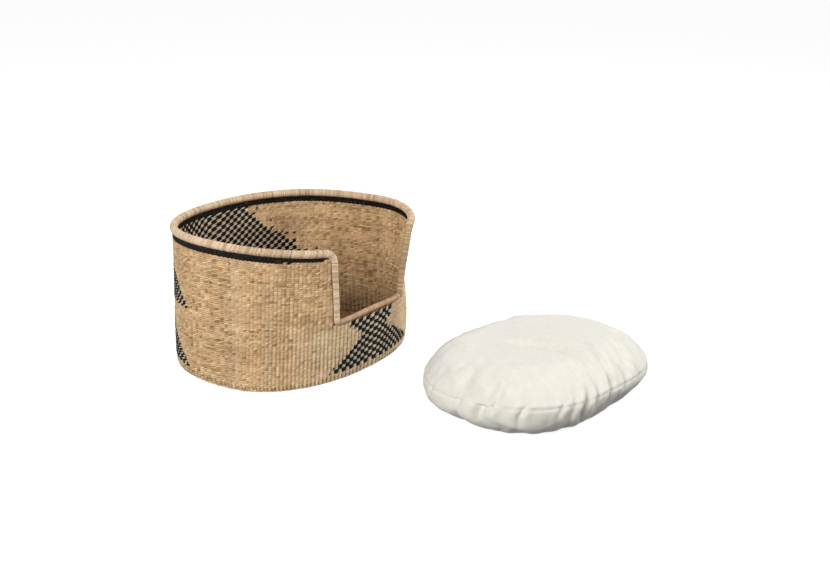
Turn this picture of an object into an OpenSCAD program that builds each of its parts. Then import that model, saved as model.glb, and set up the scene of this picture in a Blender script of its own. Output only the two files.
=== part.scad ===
// Twined grass pet bed basket with a cut-out doorway, and the loose cushion that belongs in it.
// Millimetres, +Z up. The origin is on the floor under the middle of the basket's base.
// The doorway faces -Y. The cushion lies on the floor in front of the doorway.
// A place on the wall is given by an angle around the outline (0 is +X, 270 is the front),
// a height, and an offset along the outward normal from the middle of the wall.

/* [Basket outline] */
// Middle of the base to the middle of the side wall
base_side = 268; // [220:1:330]
// Middle of the base to the middle of the front wall
base_front = 183; // [150:1:230]
// Middle of the base to the middle of the back wall
base_back = 267; // [200:1:330]
// Squareness of the base outline, 2 is an ellipse
base_power = 2.2; // [2:0.05:2.8]
// Middle of the base to the side of the rim
rim_side = 259; // [220:1:330]
// Middle of the base to the front of the rim
rim_front = 208; // [150:1:230]
// Middle of the base to the back of the rim
rim_back = 249; // [200:1:330]
// Squareness of the rim outline, 2 is an ellipse
rim_power = 2.4; // [2:0.05:2.8]
// Height of the middle of the rim binding at the back
rim_h = 300; // [240:1:380]
// How far the rim dips towards the doorway
rim_dip = 20; // [0:1:35]

/* [Doorway] */
// Height of the middle of the sill binding
sill_h = 134; // [90:1:180]
// Angle from the front to each post at the sill
door_sill = 22.6; // [16:0.1:28]
// Angle from the front to the left post at the rim
door_rim_left = 26.2; // [16:0.1:34]
// Angle from the front to the right post at the rim
door_rim_right = 30; // [16:0.1:38]
// Bend radius where the rim turns down into a post
door_bend = 19; // [14:0.5:30]

/* [Weave] */
// Thickness of the woven wall
wall_t = 8; // [7.4:0.2:12]
// Thickness of the strands on each face of the wall
strand_t = 2.4; // [1.6:0.1:2.6]
// Width of one stake, measured along the wall or the floor
stake_d = 2.4; // [1.4:0.1:2.6]
// Number of stake places around the whole wall
stake_count = 160; // [80:2:180]
// Distance between the stakes that cross the floor
floor_pitch = 20; // [10:1:40]
// Height of the dyed band under the rim
band_h = 9; // [5:0.5:16]
// Length over which the outer band thins towards the left post
band_taper = 150; // [40:5:250]

/* [Bindings] */
// Diameter of the wrapped rim
rim_d = 16.5; // [13:0.5:22]
// Diameter of the wrapped door posts
post_d = 15; // [12:0.5:20]
// Diameter of the wrapped sill
sill_d = 12; // [10:0.5:18]
// Thickness of the straw wrapped around each core
wrap_t = 2.2; // [1.2:0.1:3]

/* [Cushion] */
// Length of the cushion, along the basket's width
cushion_l = 482; // [360:1:500]
// Width of the cushion, front to back
cushion_w = 378; // [280:1:400]
// Thickness of the cushion in the middle
cushion_h = 104; // [60:1:130]
// Height of the side seam above the floor
seam_h = 52; // [30:1:58]
// Squareness of the cushion seen from above, 2 is an ellipse
cushion_power = 2.35; // [2:0.05:3]
// Fullness of the cushion's sides, more is boxier
cushion_full = 3.4; // [2.4:0.1:5]
// Thickness of the cover cloth
cloth_t = 1.5; // [0.8:0.1:2.5]
// Thickness of the sewn edge that stands out at the seam
seam_d = 3; // [2:0.5:6]
// Floor left between the rim and the cushion
cushion_gap = 157; // [60:1:300]
// Sideways shift of the cushion from the doorway's middle
cushion_shift = 56; // [-120:1:120]
// Turn of the cushion on the floor
cushion_turn = -9; // [-30:1:30]

/* [Clearances] */
// Gap between the weave and the bindings around it
fit_gap = 0.5; // [0.3:0.1:1]
// Gap between a stake and the strands on each side of it
stake_gap = 0.4; // [0.2:0.1:0.8]
// Gap between the cushion's filling and its cover
fill_gap = 0.3; // [0.2:0.1:2]

/* [Hidden] */

front = 270;
floor_t = wall_t;
stake_depth = wall_t - 2 * strand_t - 2 * stake_gap;
outer_face = wall_t / 2;
inner_face = -wall_t / 2;
weave_top = sill_h - sill_d / 2 - fit_gap;
columns = 100;
upper_levels = 3;
door_columns = 14;
bend_steps = 6;
rim_steps = 64;
post_steps = 4;
sides = 10;
core_sides = 8;
band_least = 0.2;
cushion_sides = 48;
dome_steps = 6;
flat_press = 2;
post_foot = 1.5;
bend_spare = 2;
floor_points = 120;
stake_sides = 20;
cushion_y = -(rim_front + cushion_gap + cushion_w / 2);

// ---------- the wall's shape ----------

function signed_power(v, p) = sign(v) * pow(abs(v), p);

// A rounded outline whose front and back depths differ.
function outline(t, side, near, far, power) = [
    side * signed_power(cos(t), 2 / power),
    (sin(t) < 0 ? near : far) * signed_power(sin(t), 2 / power)
];

function rim_z(t) = rim_h - rim_dip * pow(max(0, -sin(t)), 2);

// Middle of the wall: a straight line from the base outline to the rim outline at each angle.
function wall_xy(t, z) =
    let (s = z / rim_z(t))
    outline(t, base_side, base_front, base_back, base_power) * (1 - s)
    + outline(t, rim_side, rim_front, rim_back, rim_power) * s;

function wall_step(t, z) = wall_xy(t + 0.5, z) - wall_xy(t - 0.5, z);

// Millimetres of wall per degree.
function wall_speed(t, z) = norm(wall_step(t, z));

function wall_normal(t, z) =
    let (d = wall_step(t, z))
    [d[1], -d[0]] / norm(d);

function wall_point(t, z, offset = 0) =
    let (p = wall_xy(t, z) + offset * wall_normal(t, z))
    [p[0], p[1], z];

// ---------- the doorway's edges: side is -1 on the left and 1 on the right ----------

function door_rim(side) = side < 0 ? door_rim_left : door_rim_right;

function door_angle(side, z) =
    door_sill + (door_rim(side) - door_sill) * max(0, z - sill_h) / (rim_h - sill_h);

function post_t(side, z) = front + side * door_angle(side, z);

// Millimetres that a post leans away from the doorway for each millimetre it climbs.
function post_lean(side) =
    (door_rim(side) - door_sill) * wall_speed(post_t(side, rim_h), rim_h) / (rim_h - sill_h);

// Angle at a distance from a post's centre line, measured along the wall away from the door.
function beside_post(side, z, distance) =
    post_t(side, z) + side * distance / wall_speed(post_t(side, z), z);

// ---------- the woven layers ----------

post_room = post_d / 2 + fit_gap;
rim_room = rim_d / 2 + fit_gap;
bend_r = max(door_bend, rim_room + bend_spare, post_room + bend_spare);
corner_z = rim_h - rim_dip;
last_column = columns + 2 * bend_steps;

// A leaning post crosses the weave aslant, so the weave needs more room beside it.
function lean_room(side, phi) =
    let (lean = post_lean(side))
    max(norm([1, lean * cos(phi)]), 1 / norm([cos(phi) - lean * sin(phi), sin(phi)]));

// Distance from the post's centre line at which the weave stops, phi degrees around the bend.
function bend_distance(side, phi) =
    bend_r * (1 - cos(phi)) + post_room * lean_room(side, phi) * cos(phi);

// Depth below the rim's centre line at which the weave stops, phi degrees around the bend.
function bend_depth(side, phi) =
    bend_r * (1 - sin(phi)) + rim_room * lean_room(side, phi) * sin(phi);

// Degrees around the bend at a column: 90 where the column stands clear of it.
function column_phi(i) = 90 * min(1, i / bend_steps, (last_column - i) / bend_steps);

function column_side(i) = i < last_column / 2 ? 1 : -1;

// Column 0 is beside the right post, and the last column is beside the left post.
function column_t(i, z) =
    let (
        right = beside_post(1, z, bend_r),
        left = beside_post(-1, z, bend_r) + 360
    )
    i < bend_steps ? beside_post(1, z, bend_distance(1, column_phi(i)))
    : i > last_column - bend_steps ? beside_post(-1, z, bend_distance(-1, column_phi(i))) + 360
    : right + (left - right) * (i - bend_steps) / columns;

function column_top(i) =
    rim_z(column_t(i, corner_z)) - bend_depth(column_side(i), column_phi(i));

// The outer band thins towards the left post.
function outer_band_h(i) =
    let (run = (last_column - i) / columns * 360 * wall_speed(front, rim_h))
    band_h * (band_least + (1 - band_least) * min(1, run / band_taper));

function inner_band_h(i) = band_h;

function quad(a, b, c, d) = [[a, b, c], [a, c, d]];

function flat(lists) = [for (l = lists) for (x = l) x];

// A layer of the wall between two offsets: full height around the back and sides, and up to
// the sill below the doorway. band holds the band's height above the layer in each column.
module wall_layer(outside, inside, band) {
    na = last_column + 1;
    nb = door_columns - 1;
    levels = upper_levels + 3;
    face_points = na * levels + nb * 2;
    heights = [for (i = [0:last_column])
        let (top = column_top(i) - band[i])
        concat([floor_t, weave_top],
            [for (k = [0:upper_levels]) sill_h + (top - sill_h) * k / upper_levels])];
    door_t = [for (k = [1:nb])
        let (left = column_t(last_column, 0), right = column_t(0, 0) + 360)
        left + (right - left) * k / door_columns];
    points = flat([for (offset = [outside, inside]) concat(
        [for (i = [0:last_column]) for (z = heights[i]) wall_point(column_t(i, z), z, offset)],
        [for (t = door_t) for (z = [floor_t, weave_top]) wall_point(t, z, offset)]
    )]);
    function wall_id(face, i, j) = face * face_points + i * levels + j;
    function door_id(face, k, j) =
        k == 0 ? wall_id(face, last_column, j)
        : k == door_columns ? wall_id(face, 0, j)
        : face * face_points + na * levels + (k - 1) * 2 + j;
    wall_faces = [for (i = [0:last_column - 1]) for (j = [0:levels - 2]) each concat(
        quad(wall_id(0, i, j + 1), wall_id(0, i + 1, j + 1), wall_id(0, i + 1, j), wall_id(0, i, j)),
        quad(wall_id(1, i, j), wall_id(1, i + 1, j), wall_id(1, i + 1, j + 1), wall_id(1, i, j + 1))
    )];
    top = levels - 1;
    wall_ends = [for (i = [0:last_column - 1]) each concat(
        quad(wall_id(1, i, top), wall_id(1, i + 1, top), wall_id(0, i + 1, top), wall_id(0, i, top)),
        quad(wall_id(0, i + 1, 0), wall_id(1, i + 1, 0), wall_id(1, i, 0), wall_id(0, i, 0))
    )];
    door_faces = [for (k = [0:door_columns - 1]) each concat(
        quad(door_id(0, k, 1), door_id(0, k + 1, 1), door_id(0, k + 1, 0), door_id(0, k, 0)),
        quad(door_id(1, k, 0), door_id(1, k + 1, 0), door_id(1, k + 1, 1), door_id(1, k, 1)),
        quad(door_id(0, k, 1), door_id(1, k, 1), door_id(1, k + 1, 1), door_id(0, k + 1, 1)),
        quad(door_id(0, k + 1, 0), door_id(1, k + 1, 0), door_id(1, k, 0), door_id(0, k, 0))
    )];
    post_faces = [for (j = [1:levels - 2]) each concat(
        quad(wall_id(0, 0, j + 1), wall_id(0, 0, j), wall_id(1, 0, j), wall_id(1, 0, j + 1)),
        quad(wall_id(1, last_column, j + 1), wall_id(1, last_column, j),
            wall_id(0, last_column, j), wall_id(0, last_column, j + 1))
    )];
    polyhedron(points, concat(wall_faces, wall_ends, door_faces, post_faces), convexity = 8);
}

// A strip between the top of a layer and the underside of the rim.
module band_strip(outside, inside, band) {
    points = [for (i = [0:last_column])
        for (corner = [[outside, 0], [inside, 0], [inside, band[i]], [outside, band[i]]])
            let (z = column_top(i) - corner[1])
            wall_point(column_t(i, z), z, corner[0])];
    strip_faces = [for (i = [0:last_column - 1]) for (c = [0:3])
        each quad(i * 4 + c, i * 4 + (c + 1) % 4, i * 4 + 4 + (c + 1) % 4, i * 4 + 4 + c)];
    ends = concat(quad(3, 2, 1, 0), [for (f = quad(0, 1, 2, 3)) f + [1, 1, 1] * last_column * 4]);
    polyhedron(points, concat(strip_faces, ends), convexity = 8);
}

module outer_weave() {
    color([0.80, 0.66, 0.47])
        wall_layer(outer_face, outer_face - strand_t, [for (i = [0:last_column]) outer_band_h(i)]);
}

module inner_weave() {
    color([0.72, 0.57, 0.40])
        wall_layer(inner_face + strand_t, inner_face, [for (i = [0:last_column]) inner_band_h(i)]);
}

module outer_band() {
    color([0.12, 0.11, 0.10])
        band_strip(outer_face, outer_face - strand_t, [for (i = [0:last_column]) outer_band_h(i)]);
}

module inner_band() {
    color([0.12, 0.11, 0.10])
        band_strip(inner_face + strand_t, inner_face, [for (i = [0:last_column]) inner_band_h(i)]);
}

// ---------- the stakes ----------

// A stake fills the room between two layers of strands, in the direction across.
module stake(from, to, across) {
    v = to - from;
    turn = atan2(v[1], v[0]);
    translate(from)
        rotate([0, acos(v[2] / norm(v)), turn])
            rotate(across - turn)
                scale([stake_depth / stake_d, 1, 1])
                    cylinder(h = norm(v), d = stake_d, $fn = stake_sides);
}

// A stake stops under the rim, under the sill, or where it would meet a post.
function stake_top(t) =
    let (
        side = t < front ? -1 : 1,
        open_z = rim_h - bend_r,
        from_sill = (t - beside_post(side, sill_h, post_room + stake_d)) * side,
        from_rim = (t - beside_post(side, open_z, post_room + stake_d)) * side,
        lean = from_sill - from_rim,
        under_rim = rim_z(t) - rim_room - stake_d,
        under_bend = rim_z(t) - bend_r - stake_d,
        by_post = sill_h + (open_z - sill_h) * from_sill / lean,
        by_bend = (t - beside_post(side, open_z, bend_r + stake_d)) * side < 0
    )
    from_sill < 0 ? weave_top - fit_gap
    : from_rim < 0 ? min(by_post, under_bend)
    : by_bend ? under_bend
    : under_rim;

module wall_stakes() {
    color([0.66, 0.52, 0.34])
        for (k = [0:stake_count - 1]) {
            t = front - 180 + 360 * (k + 0.5) / stake_count;
            low = floor_t + fit_gap;
            facing = wall_normal(t, low);
            stake(wall_point(t, low), wall_point(t, stake_top(t)), atan2(facing[1], facing[0]));
        }
}

// ---------- the floor ----------

module floor_outline(inset) {
    polygon([for (i = [0:floor_points - 1])
        let (p = wall_point(360 * i / floor_points, 0, outer_face - inset))
        [p[0], p[1]]]);
}

module floor_under_weave() {
    color([0.70, 0.56, 0.39])
        linear_extrude(strand_t) floor_outline(strand_t);
}

module floor_top_weave() {
    color([0.68, 0.53, 0.37])
        translate([0, 0, floor_t - strand_t]) linear_extrude(strand_t) floor_outline(0);
}

// Rods from side to side across the floor, between its two woven layers.
module floor_stakes() {
    rows_near = floor((base_front - wall_t) / floor_pitch);
    rows_far = floor((base_back - wall_t) / floor_pitch);
    color([0.62, 0.49, 0.32])
        for (k = [-rows_near:rows_far]) {
            y = k * floor_pitch;
            depth = y < 0 ? base_front : base_back;
            half = base_side * pow(1 - pow(abs(y) / depth, base_power), 1 / base_power) - wall_t;
            stake([-half, y, floor_t / 2], [half, y, floor_t / 2], 0);
        }
}

// ---------- the wrapped bindings ----------

// One point of the rim's path: distance from the post's centre line, depth below the rim, radius.
function bend_point(side, phi) =
    let (
        distance = bend_r * (1 - cos(phi)),
        depth = bend_r * (1 - sin(phi)),
        z = rim_z(beside_post(side, corner_z, distance)) - depth,
        radius = (post_d + (rim_d - post_d) * phi / 90) / 2
    )
    [beside_post(side, z, distance), z, radius];

function post_path(side) =
    let (
        low = sill_h - sill_d / 2 + post_foot,
        high = rim_z(post_t(side, corner_z)) - bend_r
    )
    [for (k = [0:post_steps - 1])
        let (z = low + (high - low) * k / post_steps)
        [post_t(side, z), z, post_d / 2]];

function rim_path() =
    let (
        start = beside_post(1, corner_z, bend_r),
        stop = beside_post(-1, corner_z, bend_r) + 360
    )
    [for (k = [1:rim_steps - 1])
        let (t = start + (stop - start) * k / rim_steps)
        [t, rim_z(t), rim_d / 2]];

// The rim's path climbs the right post, goes around the back and comes down the left post.
binding_path = concat(
    post_path(1),
    [for (k = [0:bend_steps]) bend_point(1, 90 * k / bend_steps)],
    rim_path(),
    [for (k = [bend_steps:-1:0]) bend_point(-1, 90 * k / bend_steps) + [360, 0, 0]],
    [for (k = [post_steps - 1:-1:0]) post_path(-1)[k] + [360, 0, 0]]
);

sill_path =
    let (
        left = beside_post(-1, sill_h, -post_d / 2 - fit_gap),
        right = beside_post(1, sill_h, -post_d / 2 - fit_gap)
    )
    [for (k = [0:door_columns]) [left + (right - left) * k / door_columns, sill_h, sill_d / 2]];

// A ring of points around each point of a path. shrink makes the ring smaller.
function tube_rings(path, shrink, n) =
    let (
        centre = [for (p = path) wall_point(p[0], p[1])],
        last = len(path) - 1
    )
    [for (i = [0:last])
        let (
            along = centre[min(i + 1, last)] - centre[max(i - 1, 0)],
            normal = wall_normal(path[i][0], path[i][1]),
            across = [normal[0], normal[1], 0],
            up = cross(along, across) / norm(cross(along, across))
        )
        for (a = [0:n - 1])
            centre[i] + (path[i][2] - shrink)
                * (cos(360 * a / n) * across + sin(360 * a / n) * up)];

function tube_faces(rings, n, base, outward) =
    [for (i = [0:rings - 2]) for (a = [0:n - 1])
        let (
            b = (a + 1) % n,
            q = [base + i * n + a, base + i * n + b, base + (i + 1) * n + b, base + (i + 1) * n + a]
        )
        each outward ? quad(q[3], q[2], q[1], q[0]) : quad(q[0], q[1], q[2], q[3])];

// A solid round core inside a wrapped binding.
module core_tube(path) {
    n = core_sides;
    rings = len(path);
    end = (rings - 1) * n;
    polyhedron(
        tube_rings(path, wrap_t + fit_gap, n),
        concat(
            tube_faces(rings, n, 0, true),
            [[for (a = [0:n - 1]) a]],
            [[for (a = [n - 1:-1:0]) end + a]]
        ),
        convexity = 8
    );
}

// The hollow sleeve of straw around a core.
module wrap_tube(path) {
    n = sides;
    rings = len(path);
    inner = rings * n;
    end = (rings - 1) * n;
    polyhedron(
        concat(tube_rings(path, 0, n), tube_rings(path, wrap_t, n)),
        concat(
            tube_faces(rings, n, 0, true),
            tube_faces(rings, n, inner, false),
            [for (a = [0:n - 1]) each quad(a, (a + 1) % n, inner + (a + 1) % n, inner + a)],
            [for (a = [0:n - 1])
                each quad(end + (a + 1) % n, end + a, inner + end + a, inner + end + (a + 1) % n)]
        ),
        convexity = 8
    );
}

module rim_core() {
    color([0.60, 0.46, 0.30]) core_tube(binding_path);
}

module rim_wrap() {
    color([0.86, 0.72, 0.54]) wrap_tube(binding_path);
}

module sill_core() {
    color([0.60, 0.46, 0.30]) core_tube(sill_path);
}

module sill_wrap() {
    color([0.75, 0.57, 0.42]) wrap_tube(sill_path);
}

// ---------- the cushion ----------

module on_floor_in_front() {
    translate([cushion_shift, cushion_y, 0]) rotate([0, 0, cushion_turn]) children();
}

// Rings of a dome from the seam inwards, then its middle. inset is measured in from the cover's
// outside, and reach is how far the outside's middle is above (or, negative, below) the seam.
function dome_rings(reach, inset) =
    let (e = 2 / cushion_full)
    [for (k = [0:dome_steps])
        let (
            phi = 90 * k / dome_steps,
            r = pow(cos(phi), e),
            rise = sign(reach) * (abs(reach) - inset) * pow(sin(phi), e)
        )
        if (k < dome_steps)
            for (a = [0:cushion_sides - 1])
                let (
                    x = cushion_l / 2 - inset,
                    y = cushion_w / 2 - inset,
                    q = outline(360 * a / cushion_sides, x, y, y, cushion_power)
                )
                [q[0] * r, q[1] * r, max(inset, seam_h + rise)]
        else [0, 0, max(inset, seam_h + rise)]];

function dome_faces(base, up) =
    let (n = cushion_sides, middle = base + dome_steps * n, last = base + (dome_steps - 1) * n)
    concat(
        [for (k = [0:dome_steps - 2]) for (a = [0:n - 1])
            let (b = (a + 1) % n, lo = base + k * n, hi = lo + n)
            each up ? quad(hi + a, hi + b, lo + b, lo + a) : quad(lo + a, lo + b, hi + b, hi + a)],
        [for (a = [0:n - 1])
            let (b = (a + 1) % n)
            up ? [last + b, last + a, middle] : [last + a, last + b, middle]]
    );

// One cloth panel: a dome with the cloth's thickness, open at the seam.
module panel(reach) {
    n = cushion_sides;
    count = dome_steps * n + 1;
    outside_up = reach > 0;
    seam = [for (a = [0:n - 1])
        let (b = (a + 1) % n)
        each outside_up ? quad(a, b, count + b, count + a) : quad(b, a, count + a, count + b)];
    polyhedron(
        concat(dome_rings(reach, 0), dome_rings(reach, cloth_t)),
        concat(dome_faces(0, outside_up), dome_faces(count, !outside_up), seam),
        convexity = 4
    );
}

module cushion_top_panel() {
    color([0.93, 0.91, 0.87]) on_floor_in_front() panel(cushion_h - seam_h);
}

module cushion_bottom_panel() {
    color([0.91, 0.89, 0.85]) on_floor_in_front() panel(-(seam_h + flat_press));
}

module cushion_filling() {
    n = cushion_sides;
    inset = cloth_t + fill_gap;
    top = dome_rings(cushion_h - seam_h, inset);
    bottom = dome_rings(-(seam_h + flat_press), inset);
    under = [for (k = [n:len(bottom) - 1]) bottom[k]];
    under_faces = [for (f = dome_faces(len(top) - n, false))
        [for (v = f) v < len(top) ? v - (len(top) - n) : v]];
    color([0.97, 0.97, 0.95])
        on_floor_in_front()
            polyhedron(concat(top, under), concat(dome_faces(0, true), under_faces), convexity = 4);
}

// The sewn edge that runs around the cushion where the two panels meet.
module cushion_seam() {
    n = cushion_sides;
    half = seam_d / 2;
    section = [[0.1, half], [0.1, -half], [seam_d, 0]];
    points = [for (a = [0:n - 1]) for (c = section)
        let (
            q = outline(360 * a / n, cushion_l / 2 + c[0], cushion_w / 2 + c[0],
                cushion_w / 2 + c[0], cushion_power)
        )
        [q[0], q[1], seam_h + c[1]]];
    ring_faces = [for (a = [0:n - 1]) for (c = [0:2])
        let (b = (a + 1) % n, d = (c + 1) % 3)
        each quad(a * 3 + d, b * 3 + d, b * 3 + c, a * 3 + c)];
    color([0.88, 0.86, 0.81]) on_floor_in_front() polyhedron(points, ring_faces, convexity = 4);
}

floor_under_weave();
floor_stakes();
floor_top_weave();
wall_stakes();
outer_weave();
inner_weave();
outer_band();
inner_band();
rim_core();
rim_wrap();
sill_core();
sill_wrap();
cushion_filling();
cushion_bottom_panel();
cushion_top_panel();
cushion_seam();
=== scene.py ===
"""A twined grass pet bed basket with a wrapped rim and a doorway, and its loose cotton cushion.

The CAD frame gives the places and most sizes. Every strand of the weave, every turn of straw
on the bindings and the cushion's stuffed cover are built here as real geometry. Three things
differ from the CAD: the cushion's size, the pinch beside the right post and BASE_POWER.
"""
import math

import bmesh
import bpy
import numpy as np
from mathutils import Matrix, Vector


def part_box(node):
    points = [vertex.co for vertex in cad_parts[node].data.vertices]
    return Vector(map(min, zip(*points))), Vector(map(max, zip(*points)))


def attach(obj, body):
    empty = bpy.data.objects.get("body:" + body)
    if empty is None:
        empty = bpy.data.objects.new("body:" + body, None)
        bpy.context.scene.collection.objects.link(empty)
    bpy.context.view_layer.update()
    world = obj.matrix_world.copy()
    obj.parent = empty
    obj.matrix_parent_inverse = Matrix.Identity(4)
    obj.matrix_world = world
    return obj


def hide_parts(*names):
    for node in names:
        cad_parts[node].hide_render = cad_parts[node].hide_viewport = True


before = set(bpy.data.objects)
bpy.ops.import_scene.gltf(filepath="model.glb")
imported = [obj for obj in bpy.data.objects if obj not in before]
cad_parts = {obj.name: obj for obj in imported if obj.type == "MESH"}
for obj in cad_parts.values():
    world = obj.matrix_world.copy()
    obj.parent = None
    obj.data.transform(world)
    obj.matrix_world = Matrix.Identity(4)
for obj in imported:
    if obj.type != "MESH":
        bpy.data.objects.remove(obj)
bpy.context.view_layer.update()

# ---------- sizes of the basket, in metres and degrees ----------

WALL_T = 0.008
RIM_R = 0.00825
POST_R = 0.0075
SILL_R = 0.006
floor_low, floor_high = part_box("floor_top_weave")
rim_low, rim_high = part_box("rim_wrap")
sill_low, sill_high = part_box("sill_wrap")

BASE_SIDE = floor_high.x - WALL_T / 2
BASE_FRONT = -floor_low.y - WALL_T / 2
BASE_BACK = floor_high.y - WALL_T / 2
BASE_POWER = 2.25  # 2.2 in the CAD
RIM_SIDE = rim_high.x - RIM_R
RIM_BACK = rim_high.y - RIM_R
RIM_FRONT = 0.208
RIM_POWER = 2.4
RIM_H = 0.300
RIM_DIP = 0.020
SILL_H = (sill_low.z + sill_high.z) / 2
SILL_ARCH = 0.003
FRONT = 270.0
DOOR_SILL = 22.6
DOOR_RIM = {-1: 26.2, 1: 30.0}
DOOR_BEND = 0.019
# The wall is pressed in beside the right post. The CAD's wall isn't.
PINCH = 0.012
PINCH_ANGLE = 312.0
PINCH_H = 0.160

STAKES = 160
STAKE_STEP = 360.0 / STAKES
FIRST_STAKE = FRONT - 180.0 + STAKE_STEP / 2
STAKE_R = 0.0011
BUNDLE = 0.0047
ROW_STEP = 0.0044
FIRST_ROW = 0.0040
LAST_ROW = RIM_H - RIM_R + 0.0004
ROWS = int(round((LAST_ROW - FIRST_ROW) / ROW_STEP)) + 1
ROWS_PER_PIECE = 11


# ---------- the wall's shape ----------

def signed_power(v, p):
    return np.sign(v) * np.abs(v) ** p


def outline(t, side, near, far, power):
    """A rounded outline whose front and back depths differ."""
    c = np.cos(np.radians(t))
    s = np.sin(np.radians(t))
    depth = np.where(s < 0, near, far)
    return np.stack([side * signed_power(c, 2 / power), depth * signed_power(s, 2 / power)], -1)


def rim_z(t):
    return RIM_H - RIM_DIP * np.maximum(0, -np.sin(np.radians(t))) ** 2


def wall_xy(t, z):
    share = (z / rim_z(t))[..., None]
    base = outline(t, BASE_SIDE, BASE_FRONT, BASE_BACK, BASE_POWER)
    rim = outline(t, RIM_SIDE, RIM_FRONT, RIM_BACK, RIM_POWER)
    return base * (1 - share) + rim * share


def wall_step(t, z):
    return wall_xy(t + 0.5, z) - wall_xy(t - 0.5, z)


def wall_normal(t, z):
    d = wall_step(t, z)
    n = np.stack([d[..., 1], -d[..., 0]], -1)
    return n / np.linalg.norm(n, axis=-1, keepdims=True)


def wall_speed(t, z):
    return np.linalg.norm(wall_step(np.asarray(t, float), np.asarray(z, float)), axis=-1)


def handmade(t, z):
    """The small unevenness of a wall that was twined by hand."""
    a = np.radians(t)
    h = z / RIM_H
    pinched = np.exp(-((t % 360 - PINCH_ANGLE) / 17.0) ** 2 - ((z - PINCH_H) / 0.062) ** 2)
    return 0.0006 * np.sin(3 * a + 5 * h) * h + 0.0006 * np.sin(7 * a - 4 * h + 1.0) * h \
        + 0.0005 * np.sin(2 * a + 9 * h) - PINCH * pinched


def door_angle(side, z):
    lean = np.maximum(0, z - SILL_H) / (RIM_H - SILL_H)
    return DOOR_SILL + (DOOR_RIM[side] - DOOR_SILL) * lean


def sill_z(t):
    """The sill rises a little between the posts."""
    return SILL_H - SILL_ARCH * np.cos(2 * np.pi * (t - FRONT) / (2 * DOOR_SILL) + np.pi)


def beside_post(side, z, distance):
    """Angle at a distance from a post's centre line, measured away from the doorway."""
    t = FRONT + side * door_angle(side, z)
    return t + side * distance / wall_speed(t, z)


# ---------- mesh helpers ----------

def mesh_object(name, points, quads, layers=None, caps=()):
    """A mesh from arrays of points and quads. layers holds one value a point for the shaders."""
    mesh = bpy.data.meshes.new(name)
    quads = np.asarray(quads, np.int32)
    cap_sizes = [len(c) for c in caps]
    loops = np.concatenate([quads.ravel()] + [np.asarray(c, np.int32) for c in caps])
    sizes = np.concatenate([np.full(len(quads), 4), cap_sizes]).astype(np.int32)
    starts = np.concatenate([[0], np.cumsum(sizes)[:-1]]).astype(np.int32)
    mesh.vertices.add(len(points))
    mesh.vertices.foreach_set("co", np.asarray(points, np.float32).ravel())
    mesh.loops.add(len(loops))
    mesh.loops.foreach_set("vertex_index", loops)
    mesh.polygons.add(len(sizes))
    mesh.polygons.foreach_set("loop_start", starts)
    mesh.polygons.foreach_set("loop_total", sizes)
    mesh.polygons.foreach_set("use_smooth", np.ones(len(sizes), bool))
    for layer, values in (layers or {}).items():
        values = np.asarray(values, np.float32)
        kind = "FLOAT" if values.ndim == 1 else "FLOAT_VECTOR"
        attribute = mesh.attributes.new(layer, kind, "POINT")
        attribute.data.foreach_set("value" if values.ndim == 1 else "vector", values.ravel())
    mesh.update(calc_edges=True)
    mesh.validate()
    obj = bpy.data.objects.new(name, mesh)
    bpy.context.scene.collection.objects.link(obj)
    return obj


def tube_quads(rings, n, closed):
    """Quads around a run of rings with n points each."""
    i = np.arange(rings if closed else rings - 1)[:, None]
    a = np.arange(n)[None, :]
    j = (i + 1) % rings
    b = (a + 1) % n
    return np.stack([i * n + a, i * n + b, j * n + b, j * n + a], -1).reshape(-1, 4)


class Strands:
    """Collects many strands into one mesh."""

    def __init__(self):
        self.points = []
        self.quads = []
        self.caps = []
        self.layers = {}
        self.count = 0

    def add(self, points, closed, **layers):
        rings, n, _ = points.shape
        self.points.append(points.reshape(-1, 3))
        self.quads.append(tube_quads(rings, n, closed) + self.count)
        if not closed:
            last = (rings - 1) * n
            self.caps.append(np.arange(n)[::-1] + self.count)
            self.caps.append(np.arange(n) + last + self.count)
        for layer, values in layers.items():
            values = np.asarray(values, float)
            if values.ndim == 1:
                values = np.repeat(values, n)
            else:
                values = values.reshape(rings * n, -1)
            self.layers.setdefault(layer, []).append(values)
        self.count += rings * n

    def build(self, name):
        layers = {k: np.concatenate(v) for k, v in self.layers.items()}
        return mesh_object(name, np.concatenate(self.points), np.concatenate(self.quads),
                           layers, self.caps)


# ---------- materials ----------

# Black of the dyed grass. The same black is used for the painted shade on the low inside.
DYE_AND_SHADE_BLACK = (0.007, 0.0055, 0.0045)
PALE = (0.80, 0.69, 0.52)


def nodes_of(name):
    material = bpy.data.materials.new(name)
    material.use_nodes = True
    tree = material.node_tree
    return material, tree.nodes, tree.links, tree.nodes["Principled BSDF"]


def attribute(nodes, name):
    node = nodes.new("ShaderNodeAttribute")
    node.attribute_name = name
    return node


def ramp(nodes, stops):
    node = nodes.new("ShaderNodeValToRGB")
    elements = node.color_ramp.elements
    while len(elements) < len(stops):
        elements.new(0.5)
    for element, (place, colour) in zip(elements, stops):
        element.position = place
        element.color = (*colour, 1.0)
    return node


def mix(nodes, links, kind, factor, a, b):
    node = nodes.new("ShaderNodeMix")
    node.data_type = "RGBA"
    node.blend_type = kind
    if isinstance(factor, float):
        node.inputs["Factor"].default_value = factor
    else:
        links.new(factor, node.inputs["Factor"])
    for value, socket in ((a, node.inputs["A"]), (b, node.inputs["B"])):
        if isinstance(value, tuple):
            socket.default_value = (*value, 1.0)
        else:
            links.new(value, socket)
    return node.outputs["Result"]


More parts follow.
